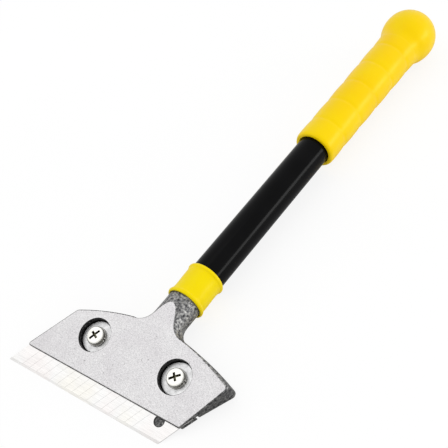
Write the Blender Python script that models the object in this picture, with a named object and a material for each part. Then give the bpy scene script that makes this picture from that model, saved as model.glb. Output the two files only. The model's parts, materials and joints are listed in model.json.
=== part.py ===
"""Hand scraper with a clamped, replaceable blade.

Everything is drawn in the head's own frame, in millimetres:
    x runs along the cutting edge, from the left end of the head to the right,
    y runs from the front lip towards the handle, in the plane of the head's flat face,
    z is the flat face's normal; the face is z = 0 and the metal lies below it.
The handle leaves the head at a slant, below the face. At the end the whole tool is tilted
about x, so that it lies on its cutting edge and its ball end, with the screws upwards.
The origin is then under the middle of the tool, on the surface it lies on.
"""
import math

import bmesh
import bpy
from mathutils import Matrix, Vector

MM = 0.001
GAP = 0.3                      # between neighbouring pieces
STACK_GAP = 0.2                # between the washers under a screw head

# Head casting
LEFT_X = -0.8                  # ends of the front lip
RIGHT_X = 99.8
LEFT_LEAN = 0.585              # sideways shift of the left end per millimetre towards the handle
RIGHT_LEAN = 0.455
CORNER_Y = 27.4                # rear corners of the face
SHOULDER_END_Y = 37.15         # where the shoulders meet the neck's fillet
SHOULDER_BOW = 1.0
SHOULDER_INSET = 6.5           # sideways, from the neck to the end of each shoulder
LIP_THICKNESS = 1.1
SLOT_DEPTH = 7.4               # from the front lip to the stop behind the blade
STEP_THICKNESS = 2.5           # casting behind the slot
BODY_FRONT_Y = 9.2             # where the deep part of the casting starts
BODY_FRONT_THICKNESS = 5.0
BODY_SLOPE = 0.41              # the underside falls this much per millimetre
BODY_THICKNESS = 11.5          # at the rear

# Screw recesses
SCREW_X = (32.5, 84.3)
SCREW_Y = 20.0
RECESS_RADIUS = 9.4
RECESS_DEPTH = 4.4
RECESS_FLOOR = 1.2
RECESS_WALL = 1.0
SCREW_HOLE_RADIUS = 2.8

# M5 pan-head screws with a split and a flat washer
HEAD_RADIUS = 4.75
HEAD_HEIGHT = 2.3
SHANK_RADIUS = 2.35
SHANK_END_Z = -9.7
SPLIT_RADIUS = 5.1
SPLIT_HEIGHT = 0.9
SPLIT_CUT = 0.6
FLAT_RADIUS = 8.3
FLAT_HEIGHT = 1.0
WASHER_BORE = 2.7
DRIVE_WIDTH = 1.1
DRIVE_LENGTHS = (7.4, 4.6)     # the long slot, and the short arm across it
DRIVE_DEPTH = 1.5

# Blade
BLADE_WIDTH = 18.0
BLADE_LENGTH = 99.5
BLADE_THICKNESS = 0.5
BLADE_REACH = 10.9             # bare blade in front of the lip
BLADE_LEAN = 0.54              # slant of both ends
BLADE_BEVEL = 1.4
BLADE_LEFT_X = -6.19
BLADE_HOLE = (88.2, -1.4, 2.95)  # x, y, radius

# Clamp plate
JAW_FRONT_Y = 0.5
JAW_REAR_Y = 8.3
JAW_NOSE_THICKNESS = 1.4
TONGUE_LEFT_X = 24.0
TONGUE_RIGHT_X = 98.0
TONGUE_REAR_Y = 28.4
TAPPED_RADIUS = 2.65
PAD_HALF_WIDTH = 4.2           # pad of the jaw under the blade's hole
PAD_FRONT_Y = -4.8
PAD_THICKNESS = 0.7

# Handle, measured along its axis from where the axis crosses the flat face
AXIS_X = 62.2
AXIS_Y = 21.6
HANDLE_SLANT = math.radians(17.4)
NECK_RADIUS = 9.0
NECK_FLARE_Y = 45.0            # the neck starts to widen here, in the head's own y
FLARE_RADIUS = 8.0
NECK_END = 37.6
SPIGOT_RADIUS = 7.7
SPIGOT_END = 56.0
TUBE_RADIUS = 9.15
TUBE_BORE = 8.1
TUBE_START = NECK_END + GAP
TUBE_END = 229.0
PIN_AT = 45.5
PIN_RADIUS = 1.5
COLLAR_START = 35.4
COLLAR_END = 54.6
COLLAR_RADIUS = 9.95
COLLAR_BEAD_RADIUS = 10.6
COLLAR_BEAD = 2.2
GRIP_START = 157.2
GRIP_BORE_END = 229.5
BALL_AT = 266.9
BALL_RADIUS = 16.2
BALL_NECK_AT = 252.5
RING_FIRST = 172.0             # first groove of the grip
RING_STEP = 17.6
RING_COUNT = 5
RING_DEPTH = 0.45

SEGMENTS = 48


# ---------------------------------------------------------------- helpers

def clear_scene():
    for obj in list(bpy.data.objects):
        bpy.data.objects.remove(obj, do_unlink=True)


def material(name, colour, roughness, metallic):
    mat = bpy.data.materials.new(name)
    mat.use_nodes = True
    shader = mat.node_tree.nodes["Principled BSDF"]
    shader.inputs["Base Color"].default_value = (*colour, 1.0)
    shader.inputs["Roughness"].default_value = roughness
    shader.inputs["Metallic"].default_value = metallic
    return mat


def mesh_from(bm, name, smooth_angle=None):
    """Turn a bmesh drawn in millimetres into a mesh in metres."""
    bmesh.ops.recalc_face_normals(bm, faces=bm.faces)
    bmesh.ops.scale(bm, vec=Vector((MM, MM, MM)), verts=bm.verts)
    mesh = bpy.data.meshes.new(name)
    bm.to_mesh(mesh)
    bm.free()
    if smooth_angle is not None:
        mesh.shade_smooth()
        mesh.set_sharp_from_angle(angle=math.radians(smooth_angle))
    return mesh


def place(name, mesh, parent, mat=None, at=(0, 0, 0)):
    """Link an object whose origin lies at a point of the head frame, given in millimetres."""
    offset = Vector(at) * MM
    mesh.transform(Matrix.Translation(-offset))
    obj = bpy.data.objects.new(name, mesh)
    bpy.context.collection.objects.link(obj)
    obj.parent = parent
    obj.location = offset
    if mat:
        mesh.materials.append(mat)
    return obj


def cutter(name, mesh, parent):
    obj = place(name, mesh, parent)
    obj.hide_render = True
    obj.display_type = 'WIRE'
    return obj


def boolean(obj, other, operation):
    mod = obj.modifiers.new(operation.lower(), 'BOOLEAN')
    mod.operation = operation
    mod.solver = 'EXACT'
    mod.object = other


def prism(outline, z_low, z_high):
    """Extrude a closed outline in x, y between two heights."""
    bm = bmesh.new()
    face = bm.faces.new([bm.verts.new((x, y, z_low)) for x, y in outline])
    grown = bmesh.ops.extrude_face_region(bm, geom=[face])
    lifted = [v for v in grown["geom"] if isinstance(v, bmesh.types.BMVert)]
    bmesh.ops.translate(bm, vec=(0, 0, z_high - z_low), verts=lifted)
    return bm


def rail(profile, x_left, x_right, lean_left=0.0, lean_right=0.0):
    """Extrude a profile in y, z along x; each end slants with its own lean."""
    bm = bmesh.new()
    left = [bm.verts.new((x_left + lean_left * y, y, z)) for y, z in profile]
    right = [bm.verts.new((x_right + lean_right * y, y, z)) for y, z in profile]
    bm.faces.new(left)
    bm.faces.new(reversed(right))
    for i in range(len(profile)):
        j = (i + 1) % len(profile)
        bm.faces.new((left[i], right[i], right[j], left[j]))
    return bm


def cylinder(radius, z_low, z_high, at=(0, 0), segments=SEGMENTS):
    bm = bmesh.new()
    middle = Matrix.Translation((at[0], at[1], (z_low + z_high) / 2))
    bmesh.ops.create_cone(bm, cap_ends=True, segments=segments, radius1=radius,
                          radius2=radius, depth=z_high - z_low, matrix=middle)
    return bm


def turned(profile, segments=SEGMENTS):
    """Spin a closed profile of (radius, z) points about z; radius 0 makes a pole."""
    bm = bmesh.new()
    rings = []
    for radius, z in profile:
        if radius == 0:
            rings.append([bm.verts.new((0, 0, z))])
            continue
        turn = [2 * math.pi * k / segments for k in range(segments)]
        rings.append([bm.verts.new((radius * math.cos(a), radius * math.sin(a), z)) for a in turn])
    closed = profile[0][0] > 0
    pairs = list(zip(rings, rings[1:] + rings[:1])) if closed else list(zip(rings, rings[1:]))
    for low, high in pairs:
        for k in range(segments):
            n = (k + 1) % segments
            loop = [low[k % len(low)], low[n % len(low)], high[n % len(high)], high[k % len(high)]]
            bm.faces.new(dict.fromkeys(loop))
    return bm


def rounded(corners):
    """Round each corner of an outline, given as (x, y, radius)."""
    outline = []
    for i, (x, y, radius) in enumerate(corners):
        here = Vector((x, y))
        if radius == 0:
            outline.append((x, y))
            continue
        before = (Vector(corners[i - 1][:2]) - here).normalized()
        after = (Vector(corners[(i + 1) % len(corners)][:2]) - here).normalized()
        half = before.angle(after) / 2
        centre = here + (before + after).normalized() * radius / math.sin(half)
        start = (here + before * radius / math.tan(half) - centre).normalized()
        end = (here + after * radius / math.tan(half) - centre).normalized()
        steps = max(2, round(math.degrees(math.pi - 2 * half) / 12))
        for k in range(steps + 1):
            point = centre + start.slerp(end, k / steps) * radius
            outline.append((point.x, point.y))
    return outline


def bowed(start, end, bow, steps=6):
    """Points between two places on a slightly bulging line, without its ends."""
    a = Vector(start)
    b = Vector(end)
    side = Vector((b.y - a.y, a.x - b.x)).normalized()
    points = []
    for k in range(1, steps):
        t = k / steps
        point = a.lerp(b, t) + side * bow * 4 * t * (1 - t)
        points.append((point.x, point.y, 0))
    return points


def underside(y):
    """Height of the casting's sloping underside."""
    depth = BODY_FRONT_THICKNESS + BODY_SLOPE * (y - BODY_FRONT_Y)
    return -min(depth, BODY_THICKNESS)


# ---------------------------------------------------------------- handle frame

def handle_frame(parent):
    """An empty on the handle's axis, its z pointing from the head to the ball end."""
    empty = bpy.data.objects.new("handle_axis", None)
    bpy.context.collection.objects.link(empty)
    empty.parent = parent
    empty.location = Vector((AXIS_X, AXIS_Y, 0)) * MM
    empty.rotation_euler = (-math.pi / 2 - HANDLE_SLANT, 0, 0)
    return empty


# ---------------------------------------------------------------- head

def head_outline():
    left = (LEFT_X + LEFT_LEAN * CORNER_Y, CORNER_Y)
    right = (RIGHT_X + RIGHT_LEAN * CORNER_Y, CORNER_Y)
    neck_left = (AXIS_X - NECK_RADIUS - SHOULDER_INSET, SHOULDER_END_Y)
    neck_right = (AXIS_X + NECK_RADIUS + SHOULDER_INSET, SHOULDER_END_Y)
    corners = [(LEFT_X, 0, 1.2), (RIGHT_X, 0, 0.6), (*right, 2.2)]
    corners += bowed(right, neck_right, SHOULDER_BOW)
    corners += [(*neck_right, 0), (*neck_left, 0)]
    corners += bowed(neck_left, left, SHOULDER_BOW)
    corners += [(*left, 3.2)]
    return rounded(corners)


def neck_ring(half_width, place_along):
    """A section of the neck; place_along gives each point's place on the axis from its height."""
    ring_points = []
    for k in range(SEGMENTS):
        a = 2 * math.pi * k / SEGMENTS
        side = half_width * math.cos(a)
        height = NECK_RADIUS * math.sin(a)
        along = place_along(height)
        y = AXIS_Y + along * math.cos(HANDLE_SLANT) + height * math.sin(HANDLE_SLANT)
        z = height * math.cos(HANDLE_SLANT) - along * math.sin(HANDLE_SLANT)
        ring_points.append((AXIS_X + side, y, z))
    return ring_points


def upright_ring(y, half_width):
    """A section of the neck in the upright plane at y."""
    def place_along(height):
        return (y - AXIS_Y - height * math.sin(HANDLE_SLANT)) / math.cos(HANDLE_SLANT)
    return neck_ring(half_width, place_along)


def neck():
    """The neck is round behind, and flares in a fillet where it enters the shoulders."""
    rings = [upright_ring(SHOULDER_END_Y - 7, NECK_RADIUS + FLARE_RADIUS)]
    steps = 8
    for k in range(steps + 1):
        a = math.pi / 2 * k / steps
        y = NECK_FLARE_Y - FLARE_RADIUS * math.cos(a)
        rings.append(upright_ring(y, NECK_RADIUS + FLARE_RADIUS * (1 - math.sin(a))))
    rings.append(neck_ring(NECK_RADIUS, lambda height: NECK_END))
    bm = bmesh.new()
    loops = [[bm.verts.new(point) for point in points] for points in rings]
    for low, high in zip(loops, loops[1:]):
        for k in range(SEGMENTS):
            n = (k + 1) % SEGMENTS
            bm.faces.new((low[k], low[n], high[n], high[k]))
    bm.faces.new(reversed(loops[0]))
    bm.faces.new(loops[-1])
    return bm


def head_casting(frame, axis, metal):
    deep = -BODY_THICKNESS - 12
    rear = SHOULDER_END_Y + 30
    wide = RIGHT_X + 60
    body = place("head_casting", mesh_from(prism(head_outline(), deep, 0), "head_casting"), frame, metal)

    below = [(-5, deep - 5), (-5, -LIP_THICKNESS), (SLOT_DEPTH, -LIP_THICKNESS),
             (SLOT_DEPTH, -STEP_THICKNESS), (BODY_FRONT_Y, -STEP_THICKNESS),
             (BODY_FRONT_Y, underside(BODY_FRONT_Y))]
    flat_from = BODY_FRONT_Y + (BODY_THICKNESS - BODY_FRONT_THICKNESS) / BODY_SLOPE
    below += [(flat_from, -BODY_THICKNESS), (rear, -BODY_THICKNESS), (rear, deep - 5)]
    boolean(body, cutter("cut_underside", mesh_from(rail(below, -40, wide), "cut"), frame), 'DIFFERENCE')

    pocket_top = -RECESS_DEPTH - RECESS_FLOOR
    cup_front = SCREW_Y - RECESS_RADIUS - RECESS_WALL
    pocket = [(TONGUE_LEFT_X - GAP, cup_front - 4), (TONGUE_RIGHT_X + GAP, cup_front - 4),
              (TONGUE_RIGHT_X + GAP, TONGUE_REAR_Y + GAP), (TONGUE_LEFT_X - GAP, TONGUE_REAR_Y + GAP)]
    room = mesh_from(prism(pocket, deep, pocket_top), "cut")
    boolean(body, cutter("cut_pocket", room, frame), 'DIFFERENCE')
    mouth = [(x, min(y, cup_front)) for x, y in pocket]
    room = mesh_from(prism(mouth, deep, -STEP_THICKNESS), "cut")
    boolean(body, cutter("cut_pocket_mouth", room, frame), 'DIFFERENCE')

    boolean(body, cutter("add_neck", mesh_from(neck(), "neck"), frame), 'UNION')
    spigot = cylinder(SPIGOT_RADIUS, NECK_END - 3, SPIGOT_END)
    boolean(body, cutter("add_spigot", mesh_from(spigot, "spigot"), axis), 'UNION')

    above = [(-40, -20), (wide, -20), (wide, rear), (-40, rear)]
    boolean(body, cutter("cut_face", mesh_from(prism(above, 0, 30), "cut"), frame), 'DIFFERENCE')
    for k, x in enumerate(SCREW_X):
        recess = cylinder(RECESS_RADIUS, -RECESS_DEPTH, 5, (x, SCREW_Y))
        boolean(body, cutter(f"cut_recess_{k}", mesh_from(recess, "cut"), frame), 'DIFFERENCE')
        hole = cylinder(SCREW_HOLE_RADIUS, deep, 0, (x, SCREW_Y), 24)
        boolean(body, cutter(f"cut_screw_hole_{k}", mesh_from(hole, "cut"), frame), 'DIFFERENCE')
    boolean(body, pin_cutter("cut_spigot_hole", axis), 'DIFFERENCE')
    body.data.shade_smooth()
    body.data.set_sharp_from_angle(angle=math.radians(35))
    return body


def pin_cutter(name, axis):
    bm = cylinder(PIN_RADIUS + GAP, -14, 14, segments=20)
    bmesh.ops.rotate(bm, matrix=Matrix.Rotation(math.pi / 2, 3, 'Y'), verts=bm.verts)
    bmesh.ops.translate(bm, vec=(0, 0, PIN_AT), verts=bm.verts)
    return cutter(name, mesh_from(bm, "cut"), axis)


def clamp_plate(frame, metal):
    blade_low = -LIP_THICKNESS - GAP - BLADE_THICKNESS
    jaw_top = blade_low - GAP
    step_top = -STEP_THICKNESS - GAP
    nose = jaw_top - JAW_NOSE_THICKNESS
    stop = SLOT_DEPTH - 2 * GAP
    jaw = [(JAW_FRONT_Y, jaw_top), (stop, jaw_top), (stop, step_top), (JAW_REAR_Y, step_top),
           (JAW_REAR_Y, -5.4), (JAW_FRONT_Y + 0.6, nose - 0.1), (JAW_FRONT_Y, nose + 0.4)]
    jaw_mesh = mesh_from(rail(jaw, LEFT_X, RIGHT_X, LEFT_LEAN, RIGHT_LEAN), "clamp_plate")
    plate = place("clamp_plate", jaw_mesh, frame, metal)
    cup_front = SCREW_Y - RECESS_RADIUS - RECESS_WALL
    tongue_top = -RECESS_DEPTH - RECESS_FLOOR - GAP
    tongue = [(stop - 1.5, step_top - 0.6), (stop + 0.2, step_top - 0.6), (stop + 0.2, step_top),
              (cup_front - GAP, step_top), (cup_front - GAP, tongue_top), (TONGUE_REAR_Y, tongue_top),
              (TONGUE_REAR_Y, -9.6), (cup_front + 0.6, -7.9), (stop, -5.2), (stop - 1.5, -4.6)]
    tongue_mesh = mesh_from(rail(tongue, TONGUE_LEFT_X, TONGUE_RIGHT_X), "tongue")
    boolean(plate, cutter("add_tongue", tongue_mesh, frame), 'UNION')
    pad_low = jaw_top - PAD_THICKNESS
    pad_rear = JAW_FRONT_Y + 1
    pad = [(PAD_FRONT_Y, pad_low), (PAD_FRONT_Y, jaw_top), (pad_rear, jaw_top), (pad_rear, pad_low)]
    pad_left = BLADE_HOLE[0] - PAD_HALF_WIDTH
    pad_right = BLADE_HOLE[0] + PAD_HALF_WIDTH
    boolean(plate, cutter("add_pad", mesh_from(rail(pad, pad_left, pad_right), "pad"), frame), 'UNION')
    for k, x in enumerate(SCREW_X):
        hole = cylinder(TAPPED_RADIUS, -20, 0, (x, SCREW_Y), 24)
        boolean(plate, cutter(f"cut_tapped_hole_{k}", mesh_from(hole, "cut"), frame), 'DIFFERENCE')
    return plate


def blade(frame, steel):
    top = -LIP_THICKNESS - GAP
    low = top - BLADE_THICKNESS
    edge = -BLADE_REACH
    back = BLADE_WIDTH - BLADE_REACH
    profile = [(edge, (top + low) / 2), (edge + BLADE_BEVEL, low), (back, low), (back, top),
               (edge + BLADE_BEVEL, top)]
    x_left = BLADE_LEFT_X + BLADE_LEAN * BLADE_REACH
    body = rail(profile, x_left, x_left + BLADE_LENGTH, BLADE_LEAN, BLADE_LEAN)
    obj = place("blade", mesh_from(body, "blade"), frame, steel)
    x, y, radius = BLADE_HOLE
    hole = cylinder(radius, low - 2, top + 2, (x, y), 32)
    boolean(obj, cutter("cut_blade_hole", mesh_from(hole, "cut"), frame), 'DIFFERENCE')
    return obj


# ---------------------------------------------------------------- screws

def stack_heights():
    """Undersides of the flat washer, the split washer and the screw head."""
    flat = -RECESS_DEPTH + STACK_GAP
    split = flat + FLAT_HEIGHT + STACK_GAP
    head = split + SPLIT_HEIGHT + STACK_GAP
    return flat, split, head


def screw(name, x, turn, frame, steel):
    head = stack_heights()[2]
    top = head + HEAD_HEIGHT
    profile = [(0, SHANK_END_Z), (SHANK_RADIUS - 0.5, SHANK_END_Z), (SHANK_RADIUS, SHANK_END_Z + 0.5),
               (SHANK_RADIUS, head), (HEAD_RADIUS - 0.1, head), (HEAD_RADIUS, head + 0.2),
               (HEAD_RADIUS, head + 1.2), (HEAD_RADIUS - 0.4, top - 0.7), (HEAD_RADIUS - 1.3, top - 0.2),
               (0, top)]
    bm = turned(profile, 40)
    bmesh.ops.translate(bm, vec=(x, SCREW_Y, 0), verts=bm.verts)
    obj = place(name, mesh_from(bm, name, 35), frame, steel, (x, SCREW_Y, 0))
    for k, length in enumerate(DRIVE_LENGTHS):
        bar = bmesh.new()
        bmesh.ops.create_cube(bar, size=1)
        bmesh.ops.scale(bar, vec=(length, DRIVE_WIDTH, 2 * DRIVE_DEPTH), verts=bar.verts)
        spin = Matrix.Rotation(turn + k * math.pi / 2, 3, 'Z')
        bmesh.ops.rotate(bar, matrix=spin, verts=bar.verts)
        bmesh.ops.translate(bar, vec=(x, SCREW_Y, top), verts=bar.verts)
        boolean(obj, cutter(f"cut_{name}_drive_{k}", mesh_from(bar, "cut"), frame), 'DIFFERENCE')
    return obj


def ring(outer, inner, low, high):
    return [(inner, low), (outer, low), (outer, high), (inner, high)]


def washer(name, x, outer, low, high, frame, steel):
    bm = turned(ring(outer, WASHER_BORE, low, high), 40)
    bmesh.ops.translate(bm, vec=(x, SCREW_Y, 0), verts=bm.verts)
    return place(name, mesh_from(bm, name, 35), frame, steel, (x, SCREW_Y, 0))


def fasteners(side, x, turn, frame, bright, zinc, dark):
    flat, split, _ = stack_heights()
    screw(f"screw_{side}", x, turn, frame, bright)
    washer(f"flat_washer_{side}", x, FLAT_RADIUS, flat, flat + FLAT_HEIGHT, frame, zinc)
    lock = washer(f"split_washer_{side}", x, SPLIT_RADIUS, split, split + SPLIT_HEIGHT, frame, dark)
    slit = [(x, SCREW_Y - SPLIT_CUT / 2), (x + 8, SCREW_Y - SPLIT_CUT / 2),
            (x + 8, SCREW_Y + SPLIT_CUT / 2), (x, SCREW_Y + SPLIT_CUT / 2)]
    boolean(lock, cutter(f"cut_split_{side}", mesh_from(prism(slit, split - 1, split + 2), "cut"), frame),
            'DIFFERENCE')


# ---------------------------------------------------------------- handle

def tube(axis, paint):
    profile = ring(TUBE_RADIUS, TUBE_BORE, TUBE_START, TUBE_END)
    obj = place("handle_tube", mesh_from(turned(profile), "handle_tube", 35), axis, paint)
    boolean(obj, pin_cutter("cut_tube_hole", axis), 'DIFFERENCE')
    return obj


def joint_pin(axis, steel):
    reach = TUBE_RADIUS - 0.1
    bm = cylinder(PIN_RADIUS, -reach, reach, segments=20)
    bmesh.ops.rotate(bm, matrix=Matrix.Rotation(math.pi / 2, 3, 'Y'), verts=bm.verts)
    bmesh.ops.translate(bm, vec=(0, 0, PIN_AT), verts=bm.verts)
    return place("joint_pin", mesh_from(bm, "joint_pin", 35), axis, steel)


def bead(start, low_radius, high_radius, length, steps=4):
    """Half-round swelling of a sleeve."""
    points = []
    for k in range(steps + 1):
        t = k / steps
        points.append((low_radius + (high_radius - low_radius) * math.sin(math.pi * t), start + length * t))
    return points


def collar(axis, plastic):
    bore = TUBE_RADIUS + GAP
    edge = COLLAR_BEAD_RADIUS - 0.5
    profile = [(bore, COLLAR_START), *bead(COLLAR_START, edge, COLLAR_BEAD_RADIUS, COLLAR_BEAD),
               (COLLAR_RADIUS, COLLAR_START + COLLAR_BEAD + 0.4),
               (COLLAR_RADIUS, COLLAR_END - COLLAR_BEAD - 0.4),
               *bead(COLLAR_END - COLLAR_BEAD, edge, COLLAR_BEAD_RADIUS, COLLAR_BEAD), (bore, COLLAR_END)]
    return place("collar", mesh_from(turned(profile), "collar", 50), axis, plastic)


def grip_radius(at):
    """Outer radius of the grip in front of the ball, with its shallow ring grooves."""
    along = (at - GRIP_START) / (BALL_NECK_AT - GRIP_START)
    radius = 11.75 + 0.95 * max(0.0, along - 0.25) ** 1.2
    lead_in = max(0.0, 1 - (at - GRIP_START) / 3.0)
    radius -= 0.7 * lead_in ** 2
    for k in range(RING_COUNT):
        off = (at - RING_FIRST - k * RING_STEP) / 1.3
        radius -= RING_DEPTH * math.exp(-off * off)
    return radius


def grip(axis, plastic):
    bore = TUBE_RADIUS + GAP
    profile = [(0, GRIP_BORE_END), (bore, GRIP_BORE_END), (bore, GRIP_START)]
    steps = 76
    for k in range(steps + 1):
        at = GRIP_START + (BALL_NECK_AT - GRIP_START) * k / steps
        profile.append((grip_radius(at), at))
    start = math.acos((BALL_AT - BALL_NECK_AT - 1.2) / BALL_RADIUS)
    turns = 16
    for k in range(turns):
        a = start + (math.pi - start) * k / turns
        profile.append((BALL_RADIUS * math.sin(a), BALL_AT - BALL_RADIUS * math.cos(a)))
    profile.append((0, BALL_AT + BALL_RADIUS))
    return place("grip", mesh_from(turned(profile, 40), "grip", 60), axis, plastic)


# ---------------------------------------------------------------- resting pose

def ball_centre():
    out = math.cos(HANDLE_SLANT) * BALL_AT
    return AXIS_Y + out, -math.sin(HANDLE_SLANT) * BALL_AT


def lie_down(frame):
    """Tilt the tool on to its cutting edge and its ball, and centre it over the origin."""
    edge_y = -BLADE_REACH
    edge_z = -LIP_THICKNESS - GAP - BLADE_THICKNESS / 2
    ball_y, ball_z = ball_centre()
    run = ball_y - edge_y
    fall = edge_z - ball_z
    tilt = math.atan2(fall, run) + math.asin(BALL_RADIUS / math.hypot(run, fall))
    frame.rotation_euler = (tilt, 0, 0)
    turn = Matrix.Rotation(tilt, 3, 'X')
    front = turn @ Vector((0, edge_y, edge_z))
    back = turn @ Vector((0, ball_y, ball_z))
    x_low = BLADE_LEFT_X
    x_high = max(x for x, _ in head_outline())
    middle = Vector(((x_low + x_high) / 2, (front.y + back.y + BALL_RADIUS) / 2, front.z))
    frame.location = -middle * MM


def build():
    clear_scene()
    aluminium = material("cast_aluminium", (0.66, 0.66, 0.67), 0.42, 1.0)
    clamp_metal = material("clamp_aluminium", (0.6, 0.6, 0.61), 0.45, 1.0)
    blade_steel = material("blade_steel", (0.8, 0.8, 0.82), 0.22, 1.0)
    screw_steel = material("screw_steel", (0.78, 0.77, 0.74), 0.2, 1.0)
    zinc = material("zinc", (0.62, 0.62, 0.63), 0.35, 1.0)
    black_steel = material("black_steel", (0.08, 0.08, 0.075), 0.35, 1.0)
    black_paint = material("black_paint", (0.012, 0.012, 0.013), 0.22, 0.0)
    yellow = material("yellow_plastic", (0.95, 0.65, 0.0), 0.35, 0.0)
    frame = bpy.data.objects.new("head_frame", None)
    bpy.context.collection.objects.link(frame)
    axis = handle_frame(frame)
    head_casting(frame, axis, aluminium)
    clamp_plate(frame, clamp_metal)
    blade(frame, blade_steel)
    fasteners("left", SCREW_X[0], math.radians(63), frame, screw_steel, zinc, black_steel)
    fasteners("right", SCREW_X[1], math.radians(43), frame, screw_steel, zinc, black_steel)
    tube(axis, black_paint)
    joint_pin(axis, zinc)
    collar(axis, yellow)
    grip(axis, yellow)
    lie_down(frame)


build()
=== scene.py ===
# Looks of the hand scraper. Pieces are drawn in millimetres in one of two frames:
#   HEAD    x along the cutting edge, y from the front lip towards the handle,
#           z out of the flat face, which is at z = 0.
#   HANDLE  z along the handle from where its axis crosses the flat face, towards the ball end.
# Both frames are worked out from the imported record, so every piece lands where its CAD part is.
import json
import math

import bmesh
import bpy
from mathutils import Matrix, Vector, noise

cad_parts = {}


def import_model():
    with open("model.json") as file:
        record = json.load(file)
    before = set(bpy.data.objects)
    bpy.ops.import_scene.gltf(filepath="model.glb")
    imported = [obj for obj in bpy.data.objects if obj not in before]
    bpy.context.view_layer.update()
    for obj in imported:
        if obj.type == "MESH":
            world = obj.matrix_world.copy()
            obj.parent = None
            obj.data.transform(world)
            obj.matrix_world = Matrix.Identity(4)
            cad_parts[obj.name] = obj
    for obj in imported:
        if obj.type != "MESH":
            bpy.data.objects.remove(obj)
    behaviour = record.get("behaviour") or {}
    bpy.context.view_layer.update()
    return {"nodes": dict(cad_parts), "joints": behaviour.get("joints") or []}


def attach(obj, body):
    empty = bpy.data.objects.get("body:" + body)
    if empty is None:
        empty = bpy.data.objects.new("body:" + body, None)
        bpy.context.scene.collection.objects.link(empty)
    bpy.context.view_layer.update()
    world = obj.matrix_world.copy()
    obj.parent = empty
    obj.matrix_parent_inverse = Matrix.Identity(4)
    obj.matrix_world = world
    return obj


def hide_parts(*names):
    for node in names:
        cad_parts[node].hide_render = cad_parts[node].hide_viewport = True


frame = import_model()

MM = 0.001
GAP = 0.3

# Head casting
LEFT_X = -0.8
RIGHT_X = 99.8
LEFT_LEAN = 0.585
RIGHT_LEAN = 0.455
CORNER_Y = 27.4
SHOULDER_END_Y = 37.15
SHOULDER_BOW = 1.0
SHOULDER_INSET = 6.5
LIP_THICKNESS = 1.1
SLOT_DEPTH = 7.4
STEP_THICKNESS = 2.5
BODY_FRONT_Y = 9.2
BODY_FRONT_THICKNESS = 5.0
BODY_SLOPE = 0.41
BODY_THICKNESS = 11.5
EDGE_ROUNDING = 0.42           # rounding of the flat face's edge all round
BROKEN_EDGE = 1.0              # how much more the right shoulder's edge is rounded at its corner
BREAK_X = (78, 108)            # where along x that extra rounding begins and is full
BREAK_Y = (24.5, 27.5)         # and where along y
SCREW_X = (32.5, 84.3)
SCREW_Y = 20.0
RECESS_RADIUS = 9.4
RECESS_DEPTH = 4.4
RECESS_FLOOR = 1.2
RECESS_WALL = 1.0
RECESS_RIM = 0.35              # rounding of the rim
RECESS_INSET = 0.5             # the wall's radius is this much under RECESS_RADIUS
RECESS_GROOVE = 0.3            # width of the groove at the foot of the wall
RECESS_GROOVE_DEPTH = 0.35
RECESS_TURN = 0.013            # radians; keeps the cutter's corners off the casting's points
SCREW_HOLE_RADIUS = 2.8
CAST_VOXEL = 0.36              # the castings' edges are rounded by about this much
CAST_ROUNDS = 5
HEAD_KEEP = 0.25               # share of the triangles kept after smoothing
CLAMP_KEEP = 0.3

# Screws and washers
HEAD_RADIUS = 4.75
HEAD_HEIGHT = 2.3
HEAD_RIM = 0.9                 # rounding of the screw head's edge
HEAD_DOME = 0.3
HEAD_CHAMFER = 0.25
SHANK_RADIUS = 2.35
SHANK_CHAMFER = 0.5
SHANK_END_Z = -9.7
THREAD_PITCH = 0.8
THREAD_DEPTH = 0.45
DRIVE_WIDTH = 1.35
DRIVE_LENGTHS = (7.6, 5.2)
DRIVE_DEPTH = 1.5
DRIVE_TURNS = (63, 43)         # degrees, left screw and right screw
SPLIT_RADIUS = 5.1
SPLIT_HEIGHT = 0.9
FLAT_RADIUS = 8.3
FLAT_HEIGHT = 1.0
WASHER_BORE = 2.7
STACK_GAP = 0.2

# Blade
BLADE_WIDTH = 18.0
BLADE_LENGTH = 99.5
BLADE_THICKNESS = 0.5
BLADE_REACH = 10.9
BLADE_LEAN = 0.54
BLADE_BEVEL = 1.4
BLADE_LEFT_X = -6.19
BLADE_HOLE = (88.2, -1.4, 2.95)
SCORE_COUNT = 16
SCORE_FIRST = 8.2              # along the blade, from its left end
SCORE_STEP = 4.96
SCORE_WIDTH = 0.22
SCORE_DEPTH = 0.07

# Clamp plate
JAW_FRONT_Y = 0.5
JAW_REAR_Y = 8.3
JAW_NOSE_THICKNESS = 1.4
TONGUE_LEFT_X = 24.0
TONGUE_RIGHT_X = 98.0
TONGUE_REAR_Y = 28.4
TAPPED_RADIUS = 2.65
PAD_HALF_WIDTH = 4.2
PAD_FRONT_Y = -4.8
PAD_THICKNESS = 0.7

# Handle
AXIS_X = 62.2
AXIS_Y = 21.6
HANDLE_SLANT = math.radians(17.4)
NECK_RADIUS = 9.0
NECK_FLARE_Y = 45.0
FLARE_RADIUS = 8.0
NECK_END = 37.6
SPIGOT_RADIUS = 7.7
SPIGOT_END = 56.0
TUBE_RADIUS = 9.15
TUBE_BORE = 8.1
TUBE_START = 37.9
TUBE_END = 229.0
COLLAR_START = 35.4
COLLAR_END = 54.6
COLLAR_RADIUS = 9.95
COLLAR_BEAD_RADIUS = 10.6
COLLAR_BEAD = 2.2
COLLAR_BEAD_HEIGHT = 0.55
COLLAR_STEP = 0.5              # between a bead and the sleeve's body
COLLAR_WAIST = 0.12
COLLAR_WANDER = 0.3            # how unevenly the soft sleeve lies
GRIP_START = 157.2
GRIP_BORE_END = 229.5
GRIP_RADIUS = 11.75
GRIP_TAPER = 0.95
GRIP_TAPER_FROM = 0.25         # share of the grip's length that is straight
LEAD_IN = 2.0
LEAD_IN_DEPTH = 0.8
BALL_AT = 266.9
BALL_RADIUS = 16.13
BALL_NECK_AT = 252.5
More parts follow.
